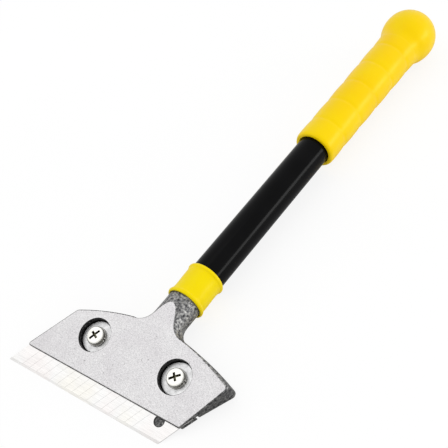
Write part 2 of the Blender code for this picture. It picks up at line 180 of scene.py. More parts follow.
BALL_BLEND = 8                 # the soft hollow has faded this far along before the ball's centre
RING_FIRST = 172.0
RING_STEP = 17.6
RING_COUNT = 5
RING_DEPTH = 0.34
RING_HALF_WIDTH = 1.15
SEGMENT_SWELL = 0.22

SEGMENTS = 96

# Stage
FLOOR_GLOW = 1.06
FLOOR_GLOW_SHARE = 0.8


# ---------------------------------------------------------------- frames

def head_matrix():
    """From the head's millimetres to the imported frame's metres, by way of the left screw's joint."""
    joint = next(j for j in frame["joints"] if j["name"] == "left_screw_turn")
    normal = Vector(joint["axis"])
    tilt = math.atan2(-normal.y, normal.z)
    screw_at = Vector((SCREW_X[0], SCREW_Y, 0))
    return (Matrix.Translation(Vector(joint["pos_m"])) @ Matrix.Rotation(tilt, 4, 'X')
            @ Matrix.Scale(MM, 4) @ Matrix.Translation(-screw_at))


HANDLE_IN_HEAD = (Matrix.Translation((AXIS_X, AXIS_Y, 0))
                  @ Matrix.Rotation(-math.pi / 2 - HANDLE_SLANT, 4, 'X'))
HEAD = head_matrix()
HANDLE = HEAD @ HANDLE_IN_HEAD


def direction(matrix, axis):
    """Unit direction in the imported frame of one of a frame's axes."""
    return matrix.to_3x3().col[axis].normalized()


# ---------------------------------------------------------------- mesh helpers

def prism(outline, z_low, z_high):
    """Extrude a closed outline in x, y between two heights."""
    bm = bmesh.new()
    face = bm.faces.new([bm.verts.new((x, y, z_low)) for x, y in outline])
    grown = bmesh.ops.extrude_face_region(bm, geom=[face])
    lifted = [v for v in grown["geom"] if isinstance(v, bmesh.types.BMVert)]
    bmesh.ops.translate(bm, vec=(0, 0, z_high - z_low), verts=lifted)
    return bm


def rail(profile, x_left, x_right, lean_left=0.0, lean_right=0.0):
    """Extrude a profile in y, z along x; each end slants with its own lean."""
    bm = bmesh.new()
    left = [bm.verts.new((x_left + lean_left * y, y, z)) for y, z in profile]
    right = [bm.verts.new((x_right + lean_right * y, y, z)) for y, z in profile]
    bm.faces.new(left)
    bm.faces.new(reversed(right))
    for i in range(len(profile)):
        j = (i + 1) % len(profile)
        bm.faces.new((left[i], right[i], right[j], left[j]))
    return bm


def loft(rings):
    """Skin a stack of rings of points, closed at both ends."""
    bm = bmesh.new()
    loops = [[bm.verts.new(point) for point in ring] for ring in rings]
    for low, high in zip(loops, loops[1:]):
        for k in range(len(low)):
            n = (k + 1) % len(low)
            bm.faces.new((low[k], low[n], high[n], high[k]))
    bm.faces.new(reversed(loops[0]))
    bm.faces.new(loops[-1])
    return bm


def turned(profile, segments=SEGMENTS, radius_change=None):
    """Spin a profile of (radius, z) points about z; radius 0 makes a pole, and no pole makes a ring.
    radius_change(turn, z, radius) can swell the surface."""
    bm = bmesh.new()
    turns = [2 * math.pi * k / segments for k in range(segments)]
    rings = []
    for radius, z in profile:
        if radius == 0:
            rings.append([bm.verts.new((0, 0, z))])
            continue
        ring = []
        for a in turns:
            r = radius + (radius_change(a, z, radius) if radius_change else 0)
            ring.append(bm.verts.new((r * math.cos(a), r * math.sin(a), z)))
        rings.append(ring)
    closed = profile[0][0] > 0
    pairs = list(zip(rings, rings[1:] + rings[:1])) if closed else list(zip(rings, rings[1:]))
    for low, high in pairs:
        for k in range(segments):
            n = (k + 1) % segments
            loop = [low[k % len(low)], low[n % len(low)], high[n % len(high)], high[k % len(high)]]
            bm.faces.new(dict.fromkeys(loop))
    return bm


def cylinder(radius, z_low, z_high, at=(0, 0), segments=64):
    bm = turned([(0, z_low), (radius, z_low), (radius, z_high), (0, z_high)], segments)
    bmesh.ops.translate(bm, vec=(*at, 0), verts=bm.verts)
    return bm


def rounded(corners):
    """Round each corner of an outline, given as (x, y, radius)."""
    outline = []
    for i, (x, y, radius) in enumerate(corners):
        here = Vector((x, y))
        if radius == 0:
            outline.append((x, y))
            continue
        before = (Vector(corners[i - 1][:2]) - here).normalized()
        after = (Vector(corners[(i + 1) % len(corners)][:2]) - here).normalized()
        half = before.angle(after) / 2
        centre = here + (before + after).normalized() * radius / math.sin(half)
        start = (here + before * radius / math.tan(half) - centre).normalized()
        end = (here + after * radius / math.tan(half) - centre).normalized()
        steps = max(3, round(math.degrees(math.pi - 2 * half) / 9))
        for k in range(steps + 1):
            point = centre + start.slerp(end, k / steps) * radius
            outline.append((point.x, point.y))
    return outline


def bowed(start, end, bow, steps=10):
    """Points between two places on a slightly bulging line, without its ends."""
    a = Vector(start)
    b = Vector(end)
    side = Vector((b.y - a.y, a.x - b.x)).normalized()
    points = []
    for k in range(1, steps):
        t = k / steps
        point = a.lerp(b, t) + side * bow * 4 * t * (1 - t)
        points.append((point.x, point.y, 0))
    return points


def smooth_step(value):
    t = min(1.0, max(0.0, value))
    return t * t * (3 - 2 * t)


def loose(bm):
    """A temporary object for modifiers to work on."""
    bmesh.ops.recalc_face_normals(bm, faces=bm.faces)
    mesh = bpy.data.meshes.new("loose")
    bm.to_mesh(mesh)
    bm.free()
    obj = bpy.data.objects.new("loose", mesh)
    bpy.context.scene.collection.objects.link(obj)
    return obj


def evaluated(obj, others=()):
    """The mesh that an object's modifiers make, as a bmesh; the temporary objects go."""
    depsgraph = bpy.context.evaluated_depsgraph_get()
    mesh = bpy.data.meshes.new_from_object(obj.evaluated_get(depsgraph))
    bm = bmesh.new()
    bm.from_mesh(mesh)
    bpy.data.meshes.remove(mesh)
    for one in (obj, *others):
        used = one.data
        bpy.data.objects.remove(one)
        bpy.data.meshes.remove(used)
    return bm


def carve(base, *steps):
    """Boolean a bmesh with each (operation, bmesh) in turn."""
    obj = loose(base)
    others = []
    for operation, tool in steps:
        other = loose(tool)
        others.append(other)
        mod = obj.modifiers.new(operation, 'BOOLEAN')
        mod.operation = operation
        mod.solver = 'EXACT'
        mod.object = other
    return evaluated(obj, others)


def cast(bm, voxel, rounds, keep):
    """Give a solid the soft edges of a casting."""
    obj = loose(bm)
    remesh = obj.modifiers.new("remesh", 'REMESH')
    remesh.mode = 'VOXEL'
    remesh.voxel_size = voxel
    smooth = obj.modifiers.new("smooth", 'SMOOTH')
    smooth.factor = 0.5
    smooth.iterations = rounds
    thin = obj.modifiers.new("thin", 'DECIMATE')
    thin.ratio = keep
    return evaluated(obj)


def piece(name, bm, place, materials, body, nodes, sharp=40.0):
    """Show a bmesh drawn in millimetres as a piece that rides on a body and stands for CAD nodes."""
    bmesh.ops.recalc_face_normals(bm, faces=bm.faces)
    bm.transform(place)
    mesh = bpy.data.meshes.new(name)
    bm.to_mesh(mesh)
    bm.free()
    mesh.shade_smooth()
    mesh.set_sharp_from_angle(angle=math.radians(sharp))
    for mat in materials:
        mesh.materials.append(mat)
    obj = bpy.data.objects.new(name, mesh)
    bpy.context.scene.collection.objects.link(obj)
    weighted = obj.modifiers.new("weighted", 'WEIGHTED_NORMAL')
    weighted.keep_sharp = True
    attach(obj, body)
    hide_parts(*nodes)
    return obj


# ---------------------------------------------------------------- materials

class Surface:
    """A Principled material with short ways to add procedural detail."""

    def __init__(self, name, roughness, metallic=0.0, **sockets):
        self.material = bpy.data.materials.new(name)
        self.material.use_nodes = True
        self.nodes = self.material.node_tree.nodes
        self.links = self.material.node_tree.links
        self.shader = self.nodes["Principled BSDF"]
        self.shader.inputs["Roughness"].default_value = roughness
        self.shader.inputs["Metallic"].default_value = metallic
        for key, value in sockets.items():
            self.shader.inputs[key.replace("_", " ")].default_value = value
        self.place = self.nodes.new("ShaderNodeTexCoord").outputs["Object"]

    def add(self, kind, inputs=(), **settings):
        node = self.nodes.new(kind)
        for key, value in settings.items():
            setattr(node, key, value)
        for socket, value in dict(inputs).items():
            if isinstance(value, bpy.types.NodeSocket):
                self.links.new(value, node.inputs[socket])
            else:
                node.inputs[socket].default_value = value
        return node

    def noise(self, scale, detail=3.0, rough=0.55, place=None, distortion=0.0):
        inputs = {"Vector": place or self.place, "Scale": scale, "Detail": detail,
                  "Roughness": rough, "Distortion": distortion}
        return self.add("ShaderNodeTexNoise", inputs).outputs["Fac"]

    def stretched(self, *axes):
        """Coordinates measured along three directions, each vector as long as its scale."""
        parts = []
        for axis in axes:
            dot = self.add("ShaderNodeVectorMath", {0: self.place, 1: axis}, operation='DOT_PRODUCT')
            parts.append(dot.outputs["Value"])
        return self.add("ShaderNodeCombineXYZ", {"X": parts[0], "Y": parts[1], "Z": parts[2]}).outputs[0]

    def ramp(self, fac, *stops):
        """Colours over a factor; each stop is (position, (r, g, b))."""
        node = self.add("ShaderNodeValToRGB", {"Fac": fac})
        elements = node.color_ramp.elements
        while len(elements) < len(stops):
            elements.new(0.5)
        for element, (position, colour) in zip(elements, stops):
            element.position = position
            element.color = (*colour, 1.0)
        return node.outputs["Color"]

    def span(self, value, low, high, to_low, to_high):
        """Map a range of values smoothly on to another."""
        inputs = {"Value": value, "From Min": low, "From Max": high, "To Min": to_low, "To Max": to_high}
        return self.add("ShaderNodeMapRange", inputs, interpolation_type='SMOOTHSTEP').outputs[0]

    def sum(self, a, b, operation='ADD'):
        return self.add("ShaderNodeMath", {0: a, 1: b}, operation=operation).outputs[0]

    def blend(self, fac, a, b, blend_type='MIX'):
        node = self.add("ShaderNodeMix", {"Factor": fac}, data_type='RGBA', blend_type=blend_type)
        for socket, value in ((node.inputs[6], a), (node.inputs[7], b)):
            if isinstance(value, bpy.types.NodeSocket):
                self.links.new(value, socket)
            else:
                socket.default_value = (*value, 1.0)
        return node.outputs[2]

    def edges(self, low, high):
        """0 on flat and hollow places, 1 on convex edges; used to paint highlights along them."""
        pointed = self.add("ShaderNodeNewGeometry").outputs["Pointiness"]
        return self.span(pointed, low, high, 0.0, 1.0)

    def colour(self, output):
        self.links.new(output, self.shader.inputs["Base Color"])

    def roughness(self, value, low, high, to_low, to_high):
        self.links.new(self.span(value, low, high, to_low, to_high), self.shader.inputs["Roughness"])

    def bump(self, height, distance, strength=1.0):
        node = self.add("ShaderNodeBump", {"Height": height, "Distance": distance, "Strength": strength})
        self.links.new(node.outputs[0], self.shader.inputs["Normal"])


def ground_aluminium():
    """The flat face: ground level and bead-blasted to a fine bright grain."""
    s = Surface("aluminium_face", 0.42, 1.0)
    grain = s.noise(2300, 2.0)
    cloud = s.noise(70, 3.0)
    base = s.ramp(grain, (0.3, (0.57, 0.565, 0.57)), (0.55, (0.76, 0.75, 0.755)), (0.75, (0.88, 0.87, 0.87)))
    tone = s.ramp(cloud, (0.35, (0.93, 0.92, 0.93)), (0.65, (1.0, 1.0, 1.0)))
    mixed = s.blend(1.0, base, tone, 'MULTIPLY')
    pits = s.span(s.noise(950, 2.0, 0.4), 0.70, 0.78, 0.0, 0.75)
    mixed = s.blend(pits, mixed, (0.2, 0.19, 0.19))
    s.colour(mixed)
    s.roughness(grain, 0.3, 0.7, 0.5, 0.36)
    s.bump(s.sum(grain, s.sum(cloud, 0.6, 'MULTIPLY')), 0.00006, 0.55)
    return s.material


def cast_aluminium(name, brightness):
    """The as-cast skin of the sides and the neck: rougher than the face, and speckled. Brightness scales its
    colour; the darker copies on the sides and in the recess walls are painted shade.
    """
    s = Surface(name, 0.5, 1.0)
    coarse = s.noise(720, 4.0, 0.65)
    fine = s.noise(2600, 2.0)
    tones = ((0.34, (0.05, 0.05, 0.052)), (0.47, (0.25, 0.25, 0.255)), (0.6, (0.50, 0.495, 0.48)),
             (0.74, (0.85, 0.84, 0.82)))
    scaled = [(at, tuple(brightness * c for c in colour)) for at, colour in tones]
    s.colour(s.ramp(coarse, *scaled))
    s.roughness(coarse, 0.35, 0.7, 0.6, 0.38)
    s.bump(s.sum(coarse, s.sum(fine, 0.4, 'MULTIPLY')), 0.0003, 0.8)
    return s.material


def milled_aluminium():
    """The recess floors: faced with a cutter that leaves faint rings."""
    s = Surface("aluminium_milled", 0.38, 1.0)
    grain = s.noise(2500, 2.0)
    across = direction(HEAD, 0) * 2600
    along = direction(HEAD, 1) * 260
    out = direction(HEAD, 2) * 260
    marks = s.noise(1.0, 2.0, 0.5, s.stretched(across, along, out))
    base = s.ramp(s.sum(s.sum(grain, 0.5, 'MULTIPLY'), s.sum(marks, 0.5, 'MULTIPLY')),
                  (0.32, (0.50, 0.50, 0.51)), (0.65, (0.74, 0.74, 0.75)))
    s.colour(base)
    s.roughness(marks, 0.3, 0.7, 0.5, 0.34)
    s.bump(marks, 0.00005, 0.5)
    return s.material


def blade_steel():
    """Polished spring steel with faint grinding lines and a film of oil that tints it."""
    s = Surface("blade_steel", 0.2, 1.0)
    along = direction(HEAD, 0) * 150
    across = direction(HEAD, 1) * 3800
    out = direction(HEAD, 2) * 150
    lines = s.noise(1.0, 3.0, 0.6, s.stretched(along, across, out))
    film = s.noise(38, 2.0, 0.5)
    base = s.ramp(lines, (0.3, (0.76, 0.755, 0.75)), (0.7, (0.86, 0.855, 0.845)))
    tint = s.ramp(film, (0.35, (1.0, 0.965, 0.96)), (0.5, (1.0, 1.0, 1.0)), (0.65, (1.0, 0.985, 0.94)))
    s.colour(s.blend(1.0, base, tint, 'MULTIPLY'))
    s.roughness(lines, 0.3, 0.7, 0.28, 0.17)
    s.bump(lines, 0.00001, 0.3)
    return s.material


def nickel():
    """Bright nickel plating, slightly smudged, with painted shade darkening the driver's slots."""
    s = Surface("nickel", 0.2, 1.0)
    smudge = s.noise(420, 4.0, 0.6)
    fine = s.noise(3000, 2.0)
    base = s.ramp(smudge, (0.3, (0.84, 0.83, 0.77)), (0.65, (0.97, 0.965, 0.93)))
    # Painted shade: the colour darkens where the ambient occlusion node finds the slots hemmed in.
    slot_occlusion = s.add("ShaderNodeAmbientOcclusion", {"Distance": 0.0035}, samples=8).outputs["AO"]
    slot_painted_shade = s.span(slot_occlusion, 0.6, 0.97, 1.0, 0.0)
    s.colour(s.blend(slot_painted_shade, base, (0.10, 0.098, 0.06)))
    s.roughness(smudge, 0.3, 0.7, 0.16, 0.3)
    s.bump(fine, 0.00001, 0.35)
    return s.material


def painted_shade_washer():
    """Steel coloured near black as painted shade for the washer's shaded side, mottled, with a painted
    highlight along its convex edges.
    """
    s = Surface("washer_painted_shade_and_highlight", 0.35, 1.0)
    mottle = s.noise(900, 3.0)
    # Near-black colour: painted shade for the washer's shaded side.
    base = s.ramp(mottle, (0.35, (0.045, 0.044, 0.04)), (0.7, (0.12, 0.118, 0.11)))
    # Convex edges lightened: painted highlight.
    s.colour(s.blend(s.edges(0.52, 0.6), base, (0.85, 0.84, 0.80)))
    s.roughness(mottle, 0.3, 0.7, 0.3, 0.45)
    s.bump(mottle, 0.00003, 0.4)
    return s.material


def zinc_plate():
    """Zinc-plated washers: a dull crystalline grey, with a painted highlight along the convex edges."""
    s = Surface("zinc_plate", 0.38, 1.0)
    grain = s.noise(2400, 2.0)
    bloom = s.noise(520, 3.0)
    both = s.sum(s.sum(grain, 0.5, 'MULTIPLY'), s.sum(bloom, 0.5, 'MULTIPLY'))
    base = s.ramp(both, (0.35, (0.46, 0.46, 0.465)), (0.62, (0.72, 0.72, 0.725)))
    # Painted highlight: the convex edges are lightened towards near white.
    s.colour(s.blend(s.edges(0.52, 0.6), base, (0.92, 0.92, 0.92)))
    s.roughness(bloom, 0.3, 0.7, 0.48, 0.34)
    s.bump(grain, 0.00004, 0.5)
    return s.material


def black_paint():
    """Glossy black enamel with a faint orange peel, fine scratches along it and a little dust."""
    s = Surface("black_paint", 0.16, 0.0, Specular_IOR_Level=0.07)
    peel = s.noise(520, 2.0)
    around = direction(HANDLE, 0) * 1400
    along = direction(HANDLE, 2) * 22
    up = direction(HANDLE, 1) * 1400
    scratches = s.noise(1.0, 2.0, 0.5, s.stretched(around, up, along))
    dust = s.span(s.noise(1500, 2.0), 0.74, 0.82, 0.0, 0.35)
    base = s.ramp(s.noise(60, 2.0), (0.3, (0.002, 0.002, 0.0022)), (0.7, (0.0035, 0.0035, 0.0038)))
    s.colour(s.blend(dust, base, (0.05, 0.05, 0.05)))
    s.roughness(scratches, 0.45, 0.8, 0.13, 0.3)
    s.bump(s.sum(peel, s.sum(scratches, 0.25, 'MULTIPLY')), 0.00002, 0.35)
    return s.material


def yellow_plastic(name, deep, bright, grain_scale, roughness):
    """Soft moulded plastic: saturated yellow, slightly deeper in places, with a fine moulded grain."""
    s = Surface(name, roughness, 0.0, Specular_IOR_Level=0.35, Specular_Tint=(1.0, 0.85, 0.08, 1.0),
                Coat_Weight=0.1, Coat_Roughness=0.25)
    grain = s.noise(grain_scale, 3.0)
    cloud = s.noise(34, 3.0)
    base = s.ramp(cloud, (0.3, deep), (0.7, bright))
    scuffs = s.span(s.noise(420, 4.0, 0.65, distortion=0.6), 0.66, 0.8, 0.0, 0.25)
    s.colour(s.blend(scuffs, base, (1.0, 0.78, 0.09)))
    s.roughness(grain, 0.3, 0.7, roughness - 0.05, roughness + 0.1)
    s.bump(s.sum(grain, s.sum(cloud, 1.5, 'MULTIPLY')), 0.00007, 0.5)
    return s.material


def worn_steel():
    """Plain steel of the joint pin inside the handle."""
    s = Surface("worn_steel", 0.35, 1.0)
    mottle = s.noise(1200, 3.0)
    s.colour(s.ramp(mottle, (0.3, (0.35, 0.345, 0.34)), (0.7, (0.6, 0.595, 0.59))))
    s.roughness(mottle, 0.3, 0.7, 0.3, 0.5)
    s.bump(mottle, 0.00003, 0.4)
    return s.material


# ---------------------------------------------------------------- head casting

def head_outline():
    left = (LEFT_X + LEFT_LEAN * CORNER_Y, CORNER_Y)
    right = (RIGHT_X + RIGHT_LEAN * CORNER_Y, CORNER_Y)
    neck_left = (AXIS_X - NECK_RADIUS - SHOULDER_INSET, SHOULDER_END_Y)
    neck_right = (AXIS_X + NECK_RADIUS + SHOULDER_INSET, SHOULDER_END_Y)
    corners = [(LEFT_X, 0, 1.2), (RIGHT_X, 0, 0.6), (*right, 2.2)]
    corners += bowed(right, neck_right, SHOULDER_BOW)
    corners += [(*neck_right, 0), (*neck_left, 0)]
    corners += bowed(neck_left, left, SHOULDER_BOW)
    corners += [(*left, 3.2)]
    return rounded(corners)


def broken_edge(x, y):
    """How far the face's edge is rounded off: most at the right rear corner, fading along the shoulder."""
    along_shoulder = smooth_step((x - BREAK_X[0]) / (BREAK_X[1] - BREAK_X[0]))
    off_the_side = smooth_step((y - BREAK_Y[0]) / (BREAK_Y[1] - BREAK_Y[0]))
    return EDGE_ROUNDING + BROKEN_EDGE * along_shoulder * off_the_side


def inset_points(outline, share):
    """The outline moved inwards by a share of its broken edge."""
    moved = []
    for i, (x, y) in enumerate(outline):
        before = Vector(outline[i - 1])
        after = Vector(outline[(i + 1) % len(outline)])
        run = (after - before).normalized()
        inwards = Vector((-run.y, run.x))
        moved.append(Vector((x, y)) + inwards * broken_edge(x, y) * share)
    return moved


def head_block(z_low):
    """The outline pulled up into a block whose top edge is rounded."""
    outline = head_outline()
    rings = [[(x, y, z_low) for x, y in outline]]
    steps = 4
    for k in range(steps + 1):
        a = math.pi / 2 * k / steps
        points = inset_points(outline, 1 - math.cos(a))
        rings.append([(p.x, p.y, -broken_edge(x, y) * (1 - math.sin(a)))
                      for p, (x, y) in zip(points, outline)])
    return loft(rings)


def underside(y):
    """Height of the casting's sloping underside."""
    depth = BODY_FRONT_THICKNESS + BODY_SLOPE * (y - BODY_FRONT_Y)
    return -min(depth, BODY_THICKNESS)


def neck_ring(half_width, place_along):
    """A section of the neck; place_along gives each point's place on the axis from its height."""
    points = []
    for k in range(SEGMENTS):
        a = 2 * math.pi * k / SEGMENTS
        height = NECK_RADIUS * math.sin(a)
        along = place_along(height)
        y = AXIS_Y + along * math.cos(HANDLE_SLANT) + height * math.sin(HANDLE_SLANT)
        z = height * math.cos(HANDLE_SLANT) - along * math.sin(HANDLE_SLANT)
        points.append((AXIS_X + half_width * math.cos(a), y, z))
    return points


def upright_ring(y, half_width):
    """A section of the neck in the upright plane at y."""
    def place_along(height):
        return (y - AXIS_Y - height * math.sin(HANDLE_SLANT)) / math.cos(HANDLE_SLANT)
    return neck_ring(half_width, place_along)


def neck():
    """The neck is round behind, and flares in a fillet where it enters the shoulders."""
    rings = [upright_ring(SHOULDER_END_Y - 7, NECK_RADIUS + FLARE_RADIUS)]
    steps = 14
    for k in range(steps + 1):
        a = math.pi / 2 * k / steps
        y = NECK_FLARE_Y - FLARE_RADIUS * math.cos(a)
        rings.append(upright_ring(y, NECK_RADIUS + FLARE_RADIUS * (1 - math.sin(a))))
    rings.append(neck_ring(NECK_RADIUS, lambda height: NECK_END))
    return loft(rings)


def on_handle(bm):
    """Move a bmesh drawn in the handle's frame into the head's."""
    bm.transform(HANDLE_IN_HEAD)
    return bm


def recess_cutter(x):
    """A counterbore with a broken rim, and a fine groove where its wall meets its floor."""
    wall = RECESS_RADIUS - RECESS_INSET
    inner = wall - RECESS_GROOVE
    foot = -RECESS_DEPTH - RECESS_GROOVE_DEPTH
    profile = [(0, -RECESS_DEPTH), (inner, -RECESS_DEPTH), (inner, foot), (wall, foot), (wall, -RECESS_RIM)]
    steps = 5
    for k in range(1, steps + 1):
        a = math.pi / 2 * k / steps
        profile.append((wall + RECESS_RIM * (1 - math.cos(a)), -RECESS_RIM * (1 - math.sin(a))))
    profile += [(wall + RECESS_RIM, 5), (0, 5)]
    bm = turned(profile, SEGMENTS)
    bmesh.ops.rotate(bm, matrix=Matrix.Rotation(RECESS_TURN, 3, 'Z'), verts=bm.verts)
    bmesh.ops.translate(bm, vec=(x, SCREW_Y, 0), verts=bm.verts)
    return bm


# Places in the list of materials that head_casting is given.
ON_FACE, ON_NECK, ON_FLOOR, ON_SKIN, ON_WALL = range(5)


def casting_surface(face):
    """Which finish a face of the casting has. The broken edge of the right shoulder has the neck's."""
    at = face.calc_center_median()
    level = face.normal.z > 0.97
    if level and at.z > -0.4:
        return ON_FACE
    if face.normal.z > 0.2 and at.z > -1.6 and at.x > 80 and at.y > 24:
        return ON_NECK
    in_recess = any(math.hypot(at.x - x, at.y - SCREW_Y) < RECESS_RADIUS for x in SCREW_X)
    if in_recess and level and at.z > -RECESS_DEPTH - 0.1:
        return ON_FLOOR
    # The recess walls take the darkest copy of the skin, which is painted shade.
    if in_recess and at.z > -RECESS_DEPTH - 0.5:
        return ON_WALL
    on_neck = at.y > SHOULDER_END_Y and abs(at.x - AXIS_X) < NECK_RADIUS + SHOULDER_INSET
    return ON_NECK if on_neck else ON_SKIN


def head_casting(materials):
    deep = -BODY_THICKNESS - 12
    rear = SHOULDER_END_Y + 30
    wide = RIGHT_X + 60
    below = [(-5, deep - 5), (-5, -LIP_THICKNESS), (SLOT_DEPTH, -LIP_THICKNESS),
             (SLOT_DEPTH, -STEP_THICKNESS), (BODY_FRONT_Y, -STEP_THICKNESS),
             (BODY_FRONT_Y, underside(BODY_FRONT_Y))]
    flat_from = BODY_FRONT_Y + (BODY_THICKNESS - BODY_FRONT_THICKNESS) / BODY_SLOPE
    below += [(flat_from, -BODY_THICKNESS), (rear, -BODY_THICKNESS), (rear, deep - 5)]

    cup_front = SCREW_Y - RECESS_RADIUS - RECESS_WALL
    pocket = [(TONGUE_LEFT_X - GAP, cup_front - 4), (TONGUE_RIGHT_X + GAP, cup_front - 4),
              (TONGUE_RIGHT_X + GAP, TONGUE_REAR_Y + GAP), (TONGUE_LEFT_X - GAP, TONGUE_REAR_Y + GAP)]
    mouth = [(x, min(y, cup_front)) for x, y in pocket]
    above = [(-40, -20), (wide, -20), (wide, rear), (-40, rear)]
    steps = [
        ('DIFFERENCE', rail(below, -40, wide)),
        ('DIFFERENCE', prism(pocket, deep, -RECESS_DEPTH - RECESS_FLOOR)),
        ('DIFFERENCE', prism(mouth, deep, -STEP_THICKNESS)),
        ('UNION', neck()),
        ('UNION', on_handle(cylinder(SPIGOT_RADIUS, NECK_END - 3, SPIGOT_END))),
        ('DIFFERENCE', prism(above, 0, 30)),
    ]
    bm = cast(carve(head_block(deep), *steps), CAST_VOXEL, CAST_ROUNDS, HEAD_KEEP)
    drilled = []
    for x in SCREW_X:
        drilled.append(('DIFFERENCE', recess_cutter(x)))
        drilled.append(('DIFFERENCE', cylinder(SCREW_HOLE_RADIUS, deep, 0, (x, SCREW_Y))))
    bm = carve(bm, *drilled)
    bm.normal_update()
    for face in bm.faces:
        face.material_index = casting_surface(face)
    return piece("scraper_head", bm, HEAD, materials, "handle_and_head",
                 ["head_casting"], sharp=60)


def clamp_plate(materials):
    """The jaw that presses the blade up into its slot, with the tongue that the screws pull on."""
    jaw_top = -LIP_THICKNESS - BLADE_THICKNESS - 2 * GAP
    step_top = -STEP_THICKNESS - GAP
    nose = jaw_top - JAW_NOSE_THICKNESS
    stop = SLOT_DEPTH - 2 * GAP
    jaw = [(JAW_FRONT_Y, jaw_top), (stop, jaw_top), (stop, step_top), (JAW_REAR_Y, step_top),
           (JAW_REAR_Y, -5.4), (JAW_FRONT_Y + 0.6, nose - 0.1), (JAW_FRONT_Y, nose + 0.4)]
    cup_front = SCREW_Y - RECESS_RADIUS - RECESS_WALL
    tongue_top = -RECESS_DEPTH - RECESS_FLOOR - GAP
    tongue = [(stop - 1.5, step_top - 0.6), (stop + 0.2, step_top - 0.6), (stop + 0.2, step_top),
              (cup_front - GAP, step_top), (cup_front - GAP, tongue_top), (TONGUE_REAR_Y, tongue_top),
              (TONGUE_REAR_Y, -9.6), (cup_front + 0.6, -7.9), (stop, -5.2), (stop - 1.5, -4.6)]
    pad_low = jaw_top - PAD_THICKNESS
    pad_rear = JAW_FRONT_Y + 1
    pad = [(PAD_FRONT_Y, pad_low), (PAD_FRONT_Y, jaw_top), (pad_rear, jaw_top), (pad_rear, pad_low)]
    pad_left = BLADE_HOLE[0] - PAD_HALF_WIDTH
    pad_right = BLADE_HOLE[0] + PAD_HALF_WIDTH
    steps = [('UNION', rail(tongue, TONGUE_LEFT_X, TONGUE_RIGHT_X)),
             ('UNION', rail(pad, pad_left, pad_right))]
    for x in SCREW_X:
        steps.append(('DIFFERENCE', cylinder(TAPPED_RADIUS, -20, 0, (x, SCREW_Y))))
    bm = carve(rail(jaw, LEFT_X, RIGHT_X, LEFT_LEAN, RIGHT_LEAN), *steps)
    bm = cast(bm, CAST_VOXEL, CAST_ROUNDS, CLAMP_KEEP)
    return piece("clamp_jaw", bm, HEAD, materials, "clamp", ["clamp_plate"], sharp=60)


# ---------------------------------------------------------------- blade

def score_cutters(top):
    """Thin wedges that scratch the snap lines across the blade, parallel to its ends."""
    bm = bmesh.new()
    front = -BLADE_REACH - 1
    back = BLADE_WIDTH - BLADE_REACH + 1
    for k in range(SCORE_COUNT):
        x_start = BLADE_LEFT_X + BLADE_LEAN * BLADE_REACH + SCORE_FIRST + k * SCORE_STEP
        ends = []
        for y in (front, back):
            x = x_start + BLADE_LEAN * y
            ends.append([bm.verts.new((x - SCORE_WIDTH / 2, y, top + 0.01)),
                         bm.verts.new((x + SCORE_WIDTH / 2, y, top + 0.01)),
                         bm.verts.new((x, y, top - SCORE_DEPTH))])
        bm.faces.new(ends[0])
        bm.faces.new(reversed(ends[1]))
        for i in range(3):
            j = (i + 1) % 3
            bm.faces.new((ends[0][i], ends[1][i], ends[1][j], ends[0][j]))
    return bm


def blade(steel):
    top = -LIP_THICKNESS - GAP
    low = top - BLADE_THICKNESS
    edge = -BLADE_REACH
    back = BLADE_WIDTH - BLADE_REACH
    profile = [(edge, (top + low) / 2), (edge + BLADE_BEVEL, low), (back, low), (back, top),
               (edge + BLADE_BEVEL, top)]
    x_left = BLADE_LEFT_X + BLADE_LEAN * BLADE_REACH
    body = rail(profile, x_left, x_left + BLADE_LENGTH, BLADE_LEAN, BLADE_LEAN)
    x, y, radius = BLADE_HOLE
    bm = carve(body, ('DIFFERENCE', cylinder(radius, low - 2, top + 2, (x, y))),
               ('DIFFERENCE', score_cutters(top)))
    return piece("snap_blade", bm, HEAD, [steel], "blade", ["blade"], sharp=5)


# ---------------------------------------------------------------- screws

def stack_heights():
    """Undersides of the flat washer, the split washer and the screw head."""
    flat = -RECESS_DEPTH + STACK_GAP
    split = flat + FLAT_HEIGHT + STACK_GAP
    head = split + SPLIT_HEIGHT + STACK_GAP
    return flat, split, head


def screw_profile(head):
    """Half section of a pan-head screw: the shank in close rows for its thread, then the head."""
    top = head + HEAD_HEIGHT
    profile = [(0, SHANK_END_Z), (SHANK_RADIUS - SHANK_CHAMFER, SHANK_END_Z)]
    rows = round((head - SHANK_END_Z) / THREAD_PITCH * 8)
    for k in range(1, rows):
        profile.append((SHANK_RADIUS, SHANK_END_Z + (head - SHANK_END_Z) * k / rows))
    profile += [(SHANK_RADIUS, head), (HEAD_RADIUS - HEAD_CHAMFER, head)]
    for k in range(9):
        a = math.pi / 2 * k / 8
        profile.append((HEAD_RADIUS - HEAD_RIM * (1 - math.cos(a)),
                        top - (HEAD_RIM + HEAD_DOME) + HEAD_RIM * math.sin(a)))
    for k in range(1, 7):
        radius = (HEAD_RADIUS - HEAD_RIM) * (1 - k / 6)
        dome = HEAD_DOME * (1 - (radius / (HEAD_RADIUS - HEAD_RIM)) ** 2)
        profile.append((radius, top - HEAD_DOME + dome))
    return profile


def thread(turn, z, radius):
    """The groove that winds round the shank, and nothing on the head."""
    if radius != SHANK_RADIUS or z > stack_heights()[2] - 1.0:
        return 0.0
    wave = math.cos(2 * math.pi * (z / THREAD_PITCH) - turn)
    return -THREAD_DEPTH * (0.5 + 0.5 * wave) ** 1.5


